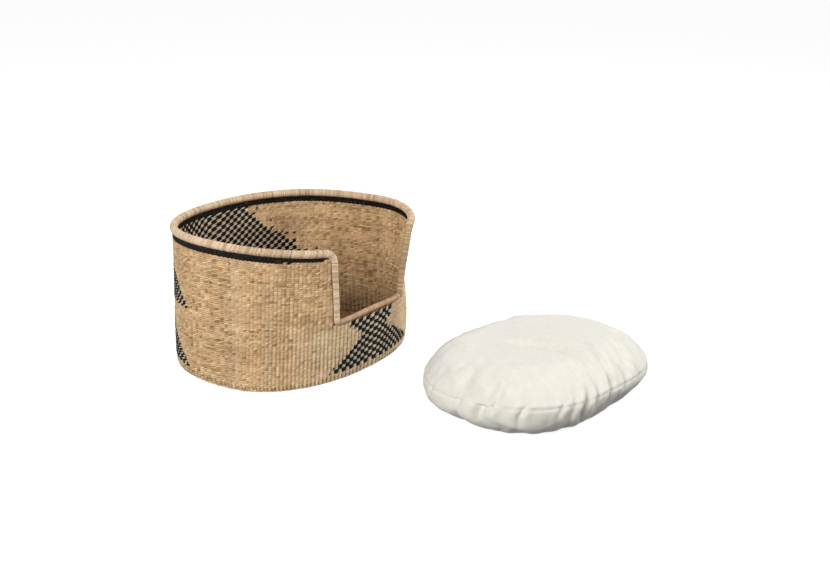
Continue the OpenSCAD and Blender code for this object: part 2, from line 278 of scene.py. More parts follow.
def straw_material(name, dark, middle, light, blush, roughness=0.62):
    """Dry grass: each strand has its own tone, with fibres along it and a few specks."""
    material, nodes, links, shader = nodes_of(name)
    tone = attribute(nodes, "tone")
    warm = attribute(nodes, "warm")
    grey = attribute(nodes, "grey")
    dye = attribute(nodes, "dye")
    grain = attribute(nodes, "grain")
    base = ramp(nodes, [(0.0, dark), (0.5, middle), (1.0, light)])
    links.new(tone.outputs["Fac"], base.inputs["Fac"])
    blushed = mix(nodes, links, "MIX", warm.outputs["Fac"], base.outputs["Color"], blush)
    # Paled for the motif's pale stitches and grey columns, and as painted light below the doorway.
    faded_and_painted_light = mix(nodes, links, "MIX", grey.outputs["Fac"], blushed, PALE)

    fibres = nodes.new("ShaderNodeTexNoise")
    fibres.inputs["Scale"].default_value = 1.0
    fibres.inputs["Detail"].default_value = 3.0
    fibres.inputs["Roughness"].default_value = 0.6
    links.new(grain.outputs["Vector"], fibres.inputs["Vector"])
    fibre_tone = ramp(nodes, [(0.25, (0.66, 0.62, 0.58)), (0.55, (1.0, 1.0, 1.0)),
                              (0.8, (1.14, 1.13, 1.10))])
    links.new(fibres.outputs["Fac"], fibre_tone.inputs["Fac"])
    grained = mix(nodes, links, "MULTIPLY", 0.85, faded_and_painted_light, fibre_tone.outputs["Color"])

    patches = nodes.new("ShaderNodeTexNoise")
    patches.inputs["Scale"].default_value = 16.0
    patches.inputs["Detail"].default_value = 2.0
    place = nodes.new("ShaderNodeTexCoord")
    links.new(place.outputs["Object"], patches.inputs["Vector"])
    patch_tone = ramp(nodes, [(0.3, (0.90, 0.88, 0.86)), (0.7, (1.06, 1.05, 1.04))])
    links.new(patches.outputs["Fac"], patch_tone.inputs["Fac"])
    aged = mix(nodes, links, "MULTIPLY", 1.0, grained, patch_tone.outputs["Color"])

    black = mix(nodes, links, "MULTIPLY", 0.6, DYE_AND_SHADE_BLACK, fibre_tone.outputs["Color"])
    # Mixed toward black for dyed strands, and as painted shade on the low inside of the wall.
    colour = mix(nodes, links, "MIX", dye.outputs["Fac"], aged, black)
    links.new(colour, shader.inputs["Base Color"])
    shader.inputs["Roughness"].default_value = roughness
    shader.inputs["Specular IOR Level"].default_value = 0.14
    bump = nodes.new("ShaderNodeBump")
    bump.inputs["Strength"].default_value = 0.35
    bump.inputs["Distance"].default_value = 0.0003
    links.new(fibres.outputs["Fac"], bump.inputs["Height"])
    links.new(bump.outputs["Normal"], shader.inputs["Normal"])
    return material


def cotton_material():
    """Plain woven cotton: fine crossing threads, slubs, and a soft sheen."""
    material, nodes, links, shader = nodes_of("undyed_cotton")
    place = nodes.new("ShaderNodeTexCoord")
    threads = []
    for axis in ("X", "Y"):
        wave = nodes.new("ShaderNodeTexWave")
        wave.wave_type = "BANDS"
        wave.bands_direction = axis
        wave.inputs["Scale"].default_value = 230.0
        wave.inputs["Distortion"].default_value = 0.6
        wave.inputs["Detail"].default_value = 1.0
        links.new(place.outputs["Object"], wave.inputs["Vector"])
        threads.append(wave.outputs["Color"])
    weave = mix(nodes, links, "MULTIPLY", 1.0, threads[0], threads[1])
    slubs = nodes.new("ShaderNodeTexNoise")
    slubs.inputs["Scale"].default_value = 90.0
    slubs.inputs["Detail"].default_value = 4.0
    links.new(place.outputs["Object"], slubs.inputs["Vector"])
    slub_tone = ramp(nodes, [(0.3, (0.86, 0.825, 0.73)), (0.7, (0.91, 0.88, 0.79))])
    links.new(slubs.outputs["Fac"], slub_tone.inputs["Fac"])
    colour = mix(nodes, links, "MULTIPLY", 0.10, slub_tone.outputs["Color"], weave)
    links.new(colour, shader.inputs["Base Color"])
    shader.inputs["Roughness"].default_value = 0.9
    shader.inputs["Sheen Weight"].default_value = 0.25
    shader.inputs["Sheen Roughness"].default_value = 0.5
    shader.inputs["Specular IOR Level"].default_value = 0.2
    bump = nodes.new("ShaderNodeBump")
    bump.inputs["Strength"].default_value = 0.25
    bump.inputs["Distance"].default_value = 0.0004
    links.new(weave, bump.inputs["Height"])
    links.new(bump.outputs["Normal"], shader.inputs["Normal"])
    return material


def plain_material(name, low, high, scale, stretch=(1, 1, 1)):
    """A noise-toned material for the pieces inside: reed cores, stakes and fibre filling."""
    material, nodes, links, shader = nodes_of(name)
    place = nodes.new("ShaderNodeTexCoord")
    mapping = nodes.new("ShaderNodeMapping")
    mapping.inputs["Scale"].default_value = stretch
    links.new(place.outputs["Object"], mapping.inputs["Vector"])
    noise = nodes.new("ShaderNodeTexNoise")
    noise.inputs["Scale"].default_value = scale
    noise.inputs["Detail"].default_value = 5.0
    links.new(mapping.outputs["Vector"], noise.inputs["Vector"])
    tone = ramp(nodes, [(0.3, low), (0.7, high)])
    links.new(noise.outputs["Fac"], tone.inputs["Fac"])
    links.new(tone.outputs["Color"], shader.inputs["Base Color"])
    shader.inputs["Roughness"].default_value = 0.8
    bump = nodes.new("ShaderNodeBump")
    bump.inputs["Distance"].default_value = 0.0005
    links.new(noise.outputs["Fac"], bump.inputs["Height"])
    links.new(bump.outputs["Normal"], shader.inputs["Normal"])
    return material


WALL_STRAW = straw_material("wall_straw", (0.34, 0.205, 0.09), (0.72, 0.505, 0.262),
                            (0.96, 0.77, 0.47), (0.76, 0.48, 0.29))
RIM_STRAW = straw_material("rim_straw", (0.46, 0.31, 0.17), (0.74, 0.57, 0.37),
                           (0.92, 0.78, 0.58), (0.80, 0.58, 0.42), roughness=0.55)
SILL_STRAW = straw_material("sill_straw", (0.42, 0.26, 0.14), (0.64, 0.44, 0.265),
                            (0.80, 0.60, 0.40), (0.68, 0.43, 0.29), roughness=0.55)
REED = plain_material("bare_reed", (0.20, 0.13, 0.07), (0.34, 0.24, 0.14), 60, (1, 1, 0.1))
FIBRE = plain_material("fibre_filling", (0.74, 0.74, 0.72), (0.84, 0.84, 0.82), 120)
COTTON = cotton_material()


def dress(obj, material, body, slot, *nodes):
    """Gives a piece its material and body, and hides the CAD nodes it stands for. The slot is not
    used.
    """
    obj.data.materials.clear()
    obj.data.materials.append(material)
    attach(obj, body)
    if nodes:
        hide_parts(*nodes)
    return obj


# ---------- the pattern of dyed strands ----------

# How far a motif reaches to each side of its middle, in stakes, at heights above its lower edge.
FRONT_LEFT = ((0.0, 12.0), (0.060, 3.8), (0.068, 3.8), (0.097, 7.4), (0.115, 8.0))
FRONT_RIGHT = ((0.0, 15.5), (0.062, 3.6), (0.076, 2.7), (0.080, 4.0), (0.115, 5.2))
BACK_SIDE = ((0.0, 29.0), (0.033, 25.0), (0.050, 23.0), (0.078, 18.0), (0.095, 15.5),
             (0.128, 10.0))
BACK_NEAR = ((0.0, 25.5), (0.033, 22.0), (0.050, 19.0), (0.078, 15.0), (0.095, 13.0),
             (0.128, 9.0))
FRINGE = 5.0  # stakes beyond the edge where stray stitches may lie
MOTIFS = (
    # middle angle, height of the lower edge, reach to smaller angles, reach to larger angles,
    # share of stray stitches
    (271.0, 0.0215, FRONT_LEFT, FRONT_RIGHT, 0.0),
    (95.5, 0.0215, BACK_NEAR, BACK_SIDE, 0.34),
    (95.5, 0.1500, BACK_NEAR, BACK_SIDE, 0.34),
)


def motif(t, z, rng):
    inside = np.zeros(np.shape(t), bool)
    stray = np.zeros(np.shape(t), bool)
    stake = np.round((t - FIRST_STAKE) / STAKE_STEP).astype(int) % STAKES
    chance = rng.random(STAKES)[stake]
    for middle, low, smaller, larger, strays in MOTIFS:
        up = z - low
        away = ((t - middle + 180) % 360 - 180) / STAKE_STEP
        reach = np.where(away < 0, np.interp(up, *zip(*smaller)), np.interp(up, *zip(*larger)))
        worked = (up >= -ROW_STEP / 2) & (up < smaller[-1][0])
        inside |= worked & (np.abs(away) <= reach)
        beyond = (np.abs(away) - reach) / FRINGE
        stray |= worked & (away < 0) & (beyond > 0) & (beyond < 1) \
            & (chance < strays * (1 - beyond))
    return inside, stray & ~inside


# ---------- the twined wall ----------

TWIST_DEPTH = 0.0024
TWIST_RISE = 0.0010
STATIONS = 4
STRAND_SIDES = 6
STRAND_HALF_H = 0.00172
STRAND_CROWN = 0.00058
STRAND_HALF_D = 0.00120
FLAT_FILL = 0.00165
FOOT_TUCK = 0.0015
POST_GAP = 0.0004
RAGGED = 0.0026
RAGGED_BEND = 0.0008
RIM_PER_DEGREE = 0.0052


def row_height(row, t):
    return (FIRST_ROW + row * ROW_STEP) / RIM_H * rim_z(t)


def row_ends(row, rng):
    """The first and last angle of a row that the doorway cuts, or None for a whole ring."""
    sill_row = (SILL_H - SILL_R - ROW_STEP * 0.4) / float(rim_z(FRONT)) * RIM_H
    if FIRST_ROW + row * ROW_STEP <= sill_row:
        return None
    ends = []
    for side in (1, -1):
        corner = FRONT + side * DOOR_RIM[side]
        z = float(row_height(row, corner))
        depth = float(rim_z(corner)) - z
        reach = POST_R + POST_GAP
        ragged = RAGGED
        if depth < DOOR_BEND:
            inner = DOOR_BEND - RIM_R
            rise = DOOR_BEND - max(depth, RIM_R)
            reach = DOOR_BEND - math.sqrt(max(inner ** 2 - rise ** 2, 0)) - POST_GAP
            ragged = RAGGED_BEND
        ends.append(float(beside_post(side, z, reach + rng.uniform(0.0, ragged))))
    return ends[0], ends[1] + 360.0


def smooth_noise(rng, count, step):
    """Random values that change slowly: one knot every step places."""
    knots = rng.random(count // step + 3)
    return np.interp(np.arange(count) / step, np.arange(len(knots)), knots)


def strand_points(t, z, off, half_depth, half_height):
    """Rings of points around a strand that runs along the wall."""
    xy = wall_xy(t, z)
    normal = wall_normal(t, z)
    angle = np.radians(360.0 * (np.arange(STRAND_SIDES) + 0.5) / STRAND_SIDES)
    out = off[:, None] + half_depth[:, None] * np.cos(angle)
    x = xy[:, 0:1] + out * normal[:, 0:1]
    y = xy[:, 1:2] + out * normal[:, 1:2]
    up = z[:, None] + half_height[:, None] * np.sin(angle)
    return np.stack([x, y, up], -1)


def grain_of(along, sides, seed):
    """Shader coordinates that stretch the fibres along a strand."""
    angle = np.radians(360.0 * np.arange(sides) / sides)
    rings = len(along)
    grain = np.zeros((rings, sides, 3))
    grain[:, :, 0] = along[:, None] * 60.0
    grain[:, :, 1] = np.cos(angle) * 2.2 + seed
    grain[:, :, 2] = np.sin(angle) * 2.2 + seed * 0.37
    return grain


FLAT_RIBS = 0.26

# Painted shade and painted light: how far the low inside is mixed toward the dyed strands' black as
# painted shade, how high that reaches, and how much lighter the beaten weave is painted, most of
# all right of the doorway.
PAINTED_SHADE_SHARE = 0.55
PAINTED_SHADE_HEIGHT = 0.065
PAINTED_LIGHT_BELOW_DOOR = 0.22
PAINTED_LIGHT_RIGHT = 0.30


def ribbing(t, z):
    """1 where the weave is beaten into upright ribs, below the doorway, and FLAT_RIBS elsewhere."""
    beside = np.clip((52.0 - np.abs(t % 360 - FRONT)) / 18.0, 0, 1)
    below = np.clip((SILL_H + 0.01 - z) / 0.03, 0, 1)
    return FLAT_RIBS + (1 - FLAT_RIBS) * beside * below


def dyed_band(weft, from_top, t):
    """The black rows under the rim, which thin out beside the left post."""
    from_post = (FRONT - DOOR_RIM[-1] - t % 360) * RIM_PER_DEGREE
    near_post = from_post > -0.001
    if from_top == 0:
        return np.ones(len(t), bool)
    if from_top == 1:
        return ~(near_post & (from_post < (0.018 if weft else 0.030)))
    if from_top == 2:
        outer = near_post & ((from_post < (0.120 if weft else 0.150)) | (from_post > 0.40))
        return ~(outer & (t % 360 > 180.0))
    return np.zeros(len(t), bool)


def build_wall():
    rng = np.random.default_rng(11)
    column_tone = smooth_noise(rng, STAKES + 2, 3)
    column_grey = np.clip(smooth_noise(rng, STAKES + 2, 4) * 2.2 - 1.1, 0, 1)
    column_bulge = rng.normal(0, 0.00018, STAKES + 2)
    row_tone = smooth_noise(rng, ROWS + 1, 4)
    pieces = []
    strands = Strands()
    for row in range(ROWS):
        ends = row_ends(row, rng)
        closed = ends is None
        if closed:
            count = STAKES * STATIONS
            t = FIRST_STAKE + STAKE_STEP * np.arange(count) / STATIONS
        else:
            count = int(round((ends[1] - ends[0]) / STAKE_STEP * STATIONS)) + 1
            t = np.linspace(ends[0], ends[1], count)
        u = (t - FIRST_STAKE) / STAKE_STEP
        stake = np.round(u).astype(int) % STAKES
        shift = rng.normal(0, 0.00022, STAKES + 1)
        height = row_height(row, t) + np.interp(u % STAKES, np.arange(STAKES + 1), shift)
        near_base = max(0.0, 1.0 - row / 3.0)
        worked, stray = motif(t, height, rng)
        ribbed = ribbing(t, height)
        for weft in (0, 1):
            turn = np.pi * (u + weft)
            face = np.cos(turn)
            z = height + TWIST_RISE * np.sin(turn)
            depth = TWIST_DEPTH + np.sign(face) * column_bulge[stake]
            off = depth * face + handmade(t, z) - FOOT_TUCK * near_base ** 1.5
            plump = 1 + 0.20 * (smooth_noise(rng, count, 9) - 0.5) \
                + 0.20 * (smooth_noise(rng, count, 4) - 0.5)
            half_height = (STRAND_HALF_H + STRAND_CROWN * face ** 2) * plump
            half_depth = (STRAND_HALF_D + FLAT_FILL * (1 - face ** 2) * (1 - ribbed)) * plump
            dyed = (worked | stray) & (weft == (row // 2) % 2)
            pale = worked & ~dyed
            dyed |= dyed_band(weft, ROWS - 1 - row, t)
            swell = 1 + 0.26 * (worked & dyed) - 0.16 * pale
            off = off + np.sign(face) * (0.0005 * (worked & dyed) - 0.0006 * pale)
            half_height = half_height * swell
            half_depth = half_depth * swell
            length = rng.integers(7, 26)
            tone = np.repeat(rng.normal(0.5, 0.19, count // length + 2), length)[:count]
            tone = tone + rng.normal(0, 0.15, STAKES)[stake] \
                + 0.24 * (column_tone[stake] - 0.5) + 0.18 * (row_tone[row] - 0.5)
            # Painted light: below the doorway the weave is toned lighter and paler, most of all
            # right of the doorway.
            beaten = (ribbed - FLAT_RIBS) / (1 - FLAT_RIBS)
            right_of_door = np.clip((t % 360 - FRONT - 14.0) / 6.0, 0, 1)
            tone = tone + beaten * (PAINTED_LIGHT_BELOW_DOOR + PAINTED_LIGHT_RIGHT * right_of_door)
            warm = np.repeat(rng.random(count // length + 2) ** 3, length)[:count] * 0.8
            grey = column_grey[stake] * 0.18 + 0.25 * beaten + np.where(pale, 0.75, 0.0)
            rings = strand_points(t, z, off, half_depth, half_height)
            # Painted shade: the low inside of the wall is mixed toward black, most of all at the
            # floor.
            painted_shade_mix = PAINTED_SHADE_SHARE * np.exp(-(z / PAINTED_SHADE_HEIGHT) ** 2) * (off < 0) * (1 - dyed)
            strands.add(rings, closed, tone=np.clip(tone + 0.25 * pale, 0, 1),
                        warm=np.where(pale, 0.0, warm), grey=np.clip(grey, 0, 1),
                        dye=dyed + painted_shade_mix,
                        grain=grain_of(u * 0.010, STRAND_SIDES, rng.random() * 50))
        if (row + 1) % ROWS_PER_PIECE == 0 or row == ROWS - 1:
            pieces.append(strands.build(f"twined_rows_{len(pieces) + 1}"))
            strands = Strands()
    return pieces


POST_ROD_R = 0.0019
POST_ROD_AWAY = POST_R + 0.0012


def build_stakes():
    """The stakes inside the weave: flat upright bundles of grass, and a rod beside each post."""
    strands = Strands()
    for k in range(STAKES):
        t0 = FIRST_STAKE + STAKE_STEP * k
        side = -1 if t0 < FRONT else 1
        top = float(rim_z(t0)) - RIM_R
        if abs(t0 - FRONT) < float(door_angle(side, RIM_H)):
            past = (abs(t0 - FRONT) - DOOR_SILL) / (DOOR_RIM[side] - DOOR_SILL)
            top = SILL_H + (RIM_H - SILL_H) * max(past, 0) - SILL_R
            top = min(top, float(rim_z(t0)) - DOOR_BEND)
        z = np.linspace(0.006, top, 16)
        t = np.full(len(z), t0)
        xy = wall_xy(t, z)
        normal = wall_normal(t, z)
        centre = xy + normal * handmade(t, z)[:, None]
        angle = np.radians(60.0 * np.arange(6))
        side_way = np.stack([-normal[:, 1], normal[:, 0]], -1)
        ring = centre[:, None, :] + STAKE_R * normal[:, None, :] * np.cos(angle)[None, :, None] \
            + BUNDLE * side_way[:, None, :] * np.sin(angle)[None, :, None]
        points = np.concatenate([ring, np.repeat(z[:, None, None], 6, 1)], -1)
        strands.add(points, False)
    for side in (-1, 1):
        top = float(rim_z(FRONT + side * DOOR_RIM[side])) - DOOR_BEND
        z = np.linspace(SILL_H - 0.012, top, 24)
        t = beside_post(side, z, POST_ROD_AWAY)
        off = handmade(t, z)
        radius = np.full(len(z), POST_ROD_R)
        points = strand_points(t, z, off, radius, radius)
        along = POST_ROD_R * np.sin(np.radians(60.0 * (np.arange(6) + 0.5)))
        points[:, :, 2] = z[:, None]
        heights = z[:, None] + 0 * along
        edge = wall_xy(beside_post(side, heights, POST_ROD_AWAY + along), heights)
        middle = wall_xy(t, z)
        points[:, :, :2] += edge - middle[:, None, :]
        strands.add(points, False)
    return strands.build("stakes_in_wall")


# ---------- the twined floor ----------

FLOOR_RINGS = 46
LAST_RING_OF_PIECE = (26, 36, FLOOR_RINGS - 1)
# Painted shade: the floor's weave is toned dark, standing in for the shade inside the basket.
FLOOR_PAINTED_SHADE_TONE = 0.20  # dark, as in the photo's shaded floor


def build_floor():
    """Rings of twining around the middle of the base, with fewer stitches towards the middle."""
    rng = np.random.default_rng(5)
    pieces = []
    strands = Strands()
    inset = WALL_T / 2
    for ring in range(FLOOR_RINGS):
        share = (ring + 0.6) / FLOOR_RINGS
        stitches = 160 if share > 0.6 else 80 if share > 0.28 else 40
        count = stitches * STATIONS
        u = np.arange(count) / STATIONS
        t = u * 360.0 / stitches
        step_x = BASE_SIDE / FLOOR_RINGS
        front = outline(t, (BASE_SIDE - inset) * share, (BASE_FRONT - inset) * share,
                        (BASE_BACK - inset) * share, BASE_POWER)
        behind = np.roll(front, 1, 0)
        ahead = np.roll(front, -1, 0)
        way = ahead - behind
        normal = np.stack([way[:, 1], -way[:, 0]], -1)
        normal /= np.linalg.norm(normal, axis=1, keepdims=True)
        radius = np.linalg.norm(front, axis=1) / share / BASE_SIDE
        for weft in (0, 1):
            turn = np.pi * (u + weft)
            face = np.cos(turn)
            z = WALL_T / 2 + 0.0024 * face
            out = 0.0012 * np.sin(turn) * radius
            half_flat = (0.0023 + 0.0012 * face ** 2) * step_x / 0.0058 * radius
            half_up = np.full(count, 0.00125)
            angle = np.radians(72.0 * (np.arange(5) + 0.5))
            sideways = out[:, None] + half_flat[:, None] * np.cos(angle)
            points = np.stack([
                front[:, 0:1] + sideways * normal[:, 0:1],
                front[:, 1:2] + sideways * normal[:, 1:2],
                z[:, None] + half_up[:, None] * np.sin(angle)], -1)
            length = rng.integers(8, 24)
            tone = np.repeat(rng.normal(FLOOR_PAINTED_SHADE_TONE, 0.16, count // length + 2), length)[:count]
            warm = np.repeat(rng.random(count // length + 2) ** 3, length)[:count] * 0.7
            strands.add(points, True, tone=np.clip(tone, 0, 1), warm=warm, dye=np.zeros(count),
                        grey=np.zeros(count),
                        grain=grain_of(u * 0.008, 5, rng.random() * 50))
        if ring in LAST_RING_OF_PIECE:
            pieces.append(strands.build(f"twined_floor_{len(pieces) + 1}"))
            strands = Strands()
    return pieces


# ---------- the wrapped bindings ----------

STRIP_W = 0.0027
STRIP_PLACES = np.array([0.0, 0.14, 0.38, 0.64, 0.88])
STRIP_PROFILE = np.array([-0.00115, -0.00005, 0.00040, 0.00040, 0.00000])
STRIP_RINGS = len(STRIP_PLACES)
STRIP_SINK = 0.00025
BINDING_SIDES = 18
RIM_CORE = 0.72
SILL_CORE = 0.68


def wrap_tube(name, t, z, radius, seed):
    """Straw strips wound around a core that follows a path on the wall.

    The mesh is one helix: after each turn a strip meets the next, so the groove between
    two strips runs on around the tube.
    """
    rng = np.random.default_rng(seed)
    xy = wall_xy(t, z) + wall_normal(t, z) * handmade(t, z)[:, None]
    centre = np.concatenate([xy, z[:, None]], -1)
    gap = np.linalg.norm(np.diff(centre, axis=0), axis=1)
    run = np.concatenate([[0], np.cumsum(gap)])
    widths = STRIP_W * rng.uniform(0.78, 1.22, int(run[-1] / STRIP_W * 1.3))
    edges = np.concatenate([[0], np.cumsum(widths)])
    turns = int(np.searchsorted(edges, run[-1])) - 1
    edges = edges[:turns + 2] * run[-1] / edges[turns + 1]
    begin = edges[:turns, None]
    width = edges[1:turns + 1, None] - begin
    ring_s = np.append((begin + STRIP_PLACES * width).ravel(), edges[turns])
    lift = rng.normal(0, 0.00018, turns + 2)
    strip_tone = rng.normal(0.5, 0.30, turns + 2)
    strip_t = np.interp(edges[np.minimum(np.arange(turns + 2), turns)], run, t)
    # Painted shade: the straw around the right post is toned darker, standing in for the shade on
    # it.
    strip_tone -= 0.55 * np.exp(-((strip_t - FRONT - DOOR_SILL - 3.0) / 6.0) ** 2)
    group = np.repeat(rng.normal(0, 0.04, turns // 6 + 2), 6)[:turns + 2]
    strip_warm = rng.random(turns + 2) ** 2 * 0.6
    n = BINDING_SIDES
    rings = len(ring_s) - STRIP_RINGS
    share = np.arange(n) / n
    index = np.arange(rings)
    s = ring_s[:rings, None] * (1 - share) \
        + ring_s[STRIP_RINGS:STRIP_RINGS + rings, None] * share
    along = np.stack([np.interp(s, run, centre[:, k]) for k in range(3)], -1)
    r0 = np.interp(s, run, radius)
    tangent_t = np.gradient(centre, run, axis=0)
    tangent = np.stack([np.interp(s, run, tangent_t[:, k]) for k in range(3)], -1)
    tangent /= np.linalg.norm(tangent, axis=-1, keepdims=True)
    normal_xy = wall_normal(t, z)
    across = [np.interp(s, run, normal_xy[:, k]) for k in range(2)]
    normal = np.stack(across + [np.zeros_like(s)], -1)
    normal -= tangent * (normal * tangent).sum(-1, keepdims=True)
    normal /= np.linalg.norm(normal, axis=-1, keepdims=True)
    up = np.cross(tangent, normal)
    strip_now = np.minimum(index // STRIP_RINGS, turns)
    strip_place = strip_now[:, None] + share[None, :]
    height = np.interp(strip_place, np.arange(turns + 2), lift)
    bulge = STRIP_PROFILE[index % STRIP_RINGS][:, None]
    r = r0 - STRIP_SINK + bulge + height
    angle = 2 * np.pi * share
    spoke = normal * np.cos(angle)[None, :, None] + up * np.sin(angle)[None, :, None]
    points = along + r[..., None] * spoke
    quads = []
    i = np.arange(rings - 1)
    for k in range(n - 1):
        quads.append(np.stack([i * n + k, i * n + k + 1, (i + 1) * n + k + 1,
                               (i + 1) * n + k], -1))
    # The seam side of the helix: the last side of a ring meets the first side one strip on.
    # A few edges stay open at each end.
    i = np.arange(rings - 1 - STRIP_RINGS)
    quads.append(np.stack([i * n + n - 1, (i + STRIP_RINGS) * n, (i + STRIP_RINGS + 1) * n,
                           (i + 1) * n + n - 1], -1))
    tone = np.repeat(strip_tone[strip_now] + group[strip_now], n)
    warm = np.repeat(strip_warm[strip_now], n)
    grain = np.zeros((rings, n, 3))
    grain[:, :, 0] = (share * 2.0)[None, :] + strip_now[:, None] * 3.1
    grain[:, :, 1] = (s / STRIP_W) * 5.0
    grain[:, :, 2] = strip_now[:, None] * 1.7
    caps = [np.arange(n)[::-1], np.arange(n) + (rings - 1) * n]
    layers = {"tone": np.clip(tone, 0, 1), "warm": warm, "dye": np.zeros(rings * n),
              "grey": np.zeros(rings * n), "grain": grain.reshape(-1, 3)}
    return mesh_object(name, points.reshape(-1, 3), np.concatenate(quads), layers, caps)


def core_tube(name, t, z, radius):
    """The bare rod that the straw is wound on. It follows the pinch, which the CAD's doesn't."""
    xy = wall_xy(t, z) + wall_normal(t, z) * handmade(t, z)[:, None]
    centre = np.concatenate([xy, z[:, None]], -1)
    n = 10
    angle = 2 * np.pi * np.arange(n) / n
    tangent = np.gradient(centre, axis=0)
    tangent /= np.linalg.norm(tangent, axis=-1, keepdims=True)
    normal = np.concatenate([wall_normal(t, z), np.zeros((len(t), 1))], -1)
    normal -= tangent * (normal * tangent).sum(-1, keepdims=True)
    normal /= np.linalg.norm(normal, axis=-1, keepdims=True)
    up = np.cross(tangent, normal)
    spoke = normal[:, None, :] * np.cos(angle)[None, :, None] \
        + up[:, None, :] * np.sin(angle)[None, :, None]
    points = centre[:, None, :] + radius[:, None, None] * spoke
    caps = [np.arange(n)[::-1], np.arange(n) + (len(t) - 1) * n]
    return mesh_object(name, points.reshape(-1, 3), tube_quads(len(t), n, False), None, caps)


FOOT_BEND = 0.0075


def post_and_bend(side):
    """Angles, heights and radii up a post and around the bend to the rim."""
    corner = float(rim_z(FRONT + side * DOOR_RIM[side]))
    turn = np.radians(np.linspace(90, 0, 9)[:-1])
    foot = SILL_H - SILL_ARCH
    z_foot = foot + FOOT_BEND * (1 - np.sin(turn))
    t_foot = beside_post(side, z_foot, -FOOT_BEND * (1 - np.cos(turn)))
    z_post = np.linspace(foot + FOOT_BEND, corner - DOOR_BEND, 24)
    t_post = FRONT + side * door_angle(side, z_post)
    phi = np.radians(np.linspace(0, 90, 14)[1:])
    distance = DOOR_BEND * (1 - np.cos(phi))
    depth = DOOR_BEND * (1 - np.sin(phi))
    near = beside_post(side, RIM_H - RIM_DIP, distance)
    z_bend = rim_z(near) - depth
    t_bend = beside_post(side, z_bend, distance)
    t = np.concatenate([t_foot, t_post, t_bend])
    z = np.concatenate([z_foot, z_post, z_bend])
    radius = np.concatenate([np.linspace(SILL_R + 0.0004, POST_R, len(z_foot)),
                             np.full(len(z_post), POST_R),
                             POST_R + (RIM_R - POST_R) * phi / (np.pi / 2)])
    return t, z, radius


def build_bindings():
    right = post_and_bend(1)
    left = post_and_bend(-1)
    t_rim = np.linspace(right[0][-1], left[0][-1] + 360.0, 420)[1:-1]
    t = np.concatenate([right[0], t_rim, (left[0] + 360.0)[::-1]])
    z = np.concatenate([right[1], rim_z(t_rim), left[1][::-1]])
    radius = np.concatenate([right[2], np.full(len(t_rim), RIM_R), left[2][::-1]])
    rim = wrap_tube("wrapped_rim", t, z, radius, 21)
    rim_rod = core_tube("rim_rod", t[2:-2], z[2:-2], radius[2:-2] * RIM_CORE)
    t = np.linspace(FRONT - DOOR_SILL, FRONT + DOOR_SILL, 60)
    z = sill_z(t)
    sill = wrap_tube("wrapped_sill", t, z, np.full(len(t), SILL_R), 22)
    sill_rod = core_tube("sill_rod", t[1:-1], z[1:-1], np.full(len(t) - 2, SILL_R * SILL_CORE))
    return rim, sill, rim_rod, sill_rod


# ---------- the cushion ----------

bottom_low, bottom_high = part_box("cushion_bottom_panel")
top_low, top_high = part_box("cushion_top_panel")
# The cover that is cut here is longer, wider and higher than the CAD's cushion, and its seam is
# higher. The finished cushion is about 14 mm longer and 22 mm higher than the CAD's.
CUSHION_L = 0.503
CUSHION_W = 0.394
COVER_H = top_high.z + 0.010
SEAM_H = bottom_high.z
SEAM_RISE = 0.013
CUSHION_POWER = 2.35
CUSHION_TURN = math.radians(-9)
COVER_SIDE = 7.0
COVER_TOP = 2.4
GIRTH_H = 0.047
START_INSET = 0.004
VOXEL = 0.0048
CLOTH_FRAMES = 20
MOVE_LIMIT = 0.012
SMOOTH_PASSES = 9
REST_H = 0.004
FIBRE_SHARE = (0.985, 0.985, 0.93)
CUSHION_MID = Vector(((bottom_low.x + bottom_high.x) / 2, (bottom_low.y + bottom_high.y) / 2, 0))


def cushion_start():
    """The closed form that the cover is cut from: two domes that meet at the girth."""
    around = 96
    steps = 12
    t = 360.0 * np.arange(around) / around
    depth = CUSHION_W / 2 - START_INSET
    plan = outline(t, CUSHION_L / 2 - START_INSET, depth, depth, CUSHION_POWER)
    rings = []
    heights = []
    for reach in (-GIRTH_H, COVER_H - GIRTH_H):
        phi = np.radians(90.0 * np.arange(steps) / steps)
        if reach < 0:
            phi = phi[:0:-1]
        for p in phi:
            rings.append(math.cos(p) ** (2 / COVER_SIDE))
            rise = (abs(reach) - START_INSET) * math.sin(p) ** (2 / COVER_TOP)
            heights.append(max(START_INSET, GIRTH_H + math.copysign(rise, reach)))
    count = len(rings)
    ring_points = np.array([[(*(plan[a] * r), h) for a in range(around)]
                            for r, h in zip(rings, heights)])
    points = np.concatenate([ring_points.reshape(-1, 3),
                             [[0, 0, START_INSET], [0, 0, COVER_H - START_INSET]]])
    quads = tube_quads(count, around, False)
    caps = []
    for a in range(around):
        b = (a + 1) % around
        caps.append([b, a, count * around])
        caps.append([(count - 1) * around + a, (count - 1) * around + b, count * around + 1])
    return mesh_object("cushion_cover", points, quads, None, caps)


def apply_all(obj):
    """Applies every modifier of an object to its mesh."""
    depsgraph = bpy.context.evaluated_depsgraph_get()
    mesh = bpy.data.meshes.new_from_object(obj.evaluated_get(depsgraph))
    obj.modifiers.clear()
    old = obj.data
    obj.data = mesh
    bpy.data.meshes.remove(old)


def coords(obj):
    co = np.zeros(len(obj.data.vertices) * 3)
    obj.data.vertices.foreach_get("co", co)
    return co.reshape(-1, 3)


def set_coords(obj, co):
    obj.data.vertices.foreach_set("co", np.asarray(co, np.float32).ravel())
    obj.data.update()


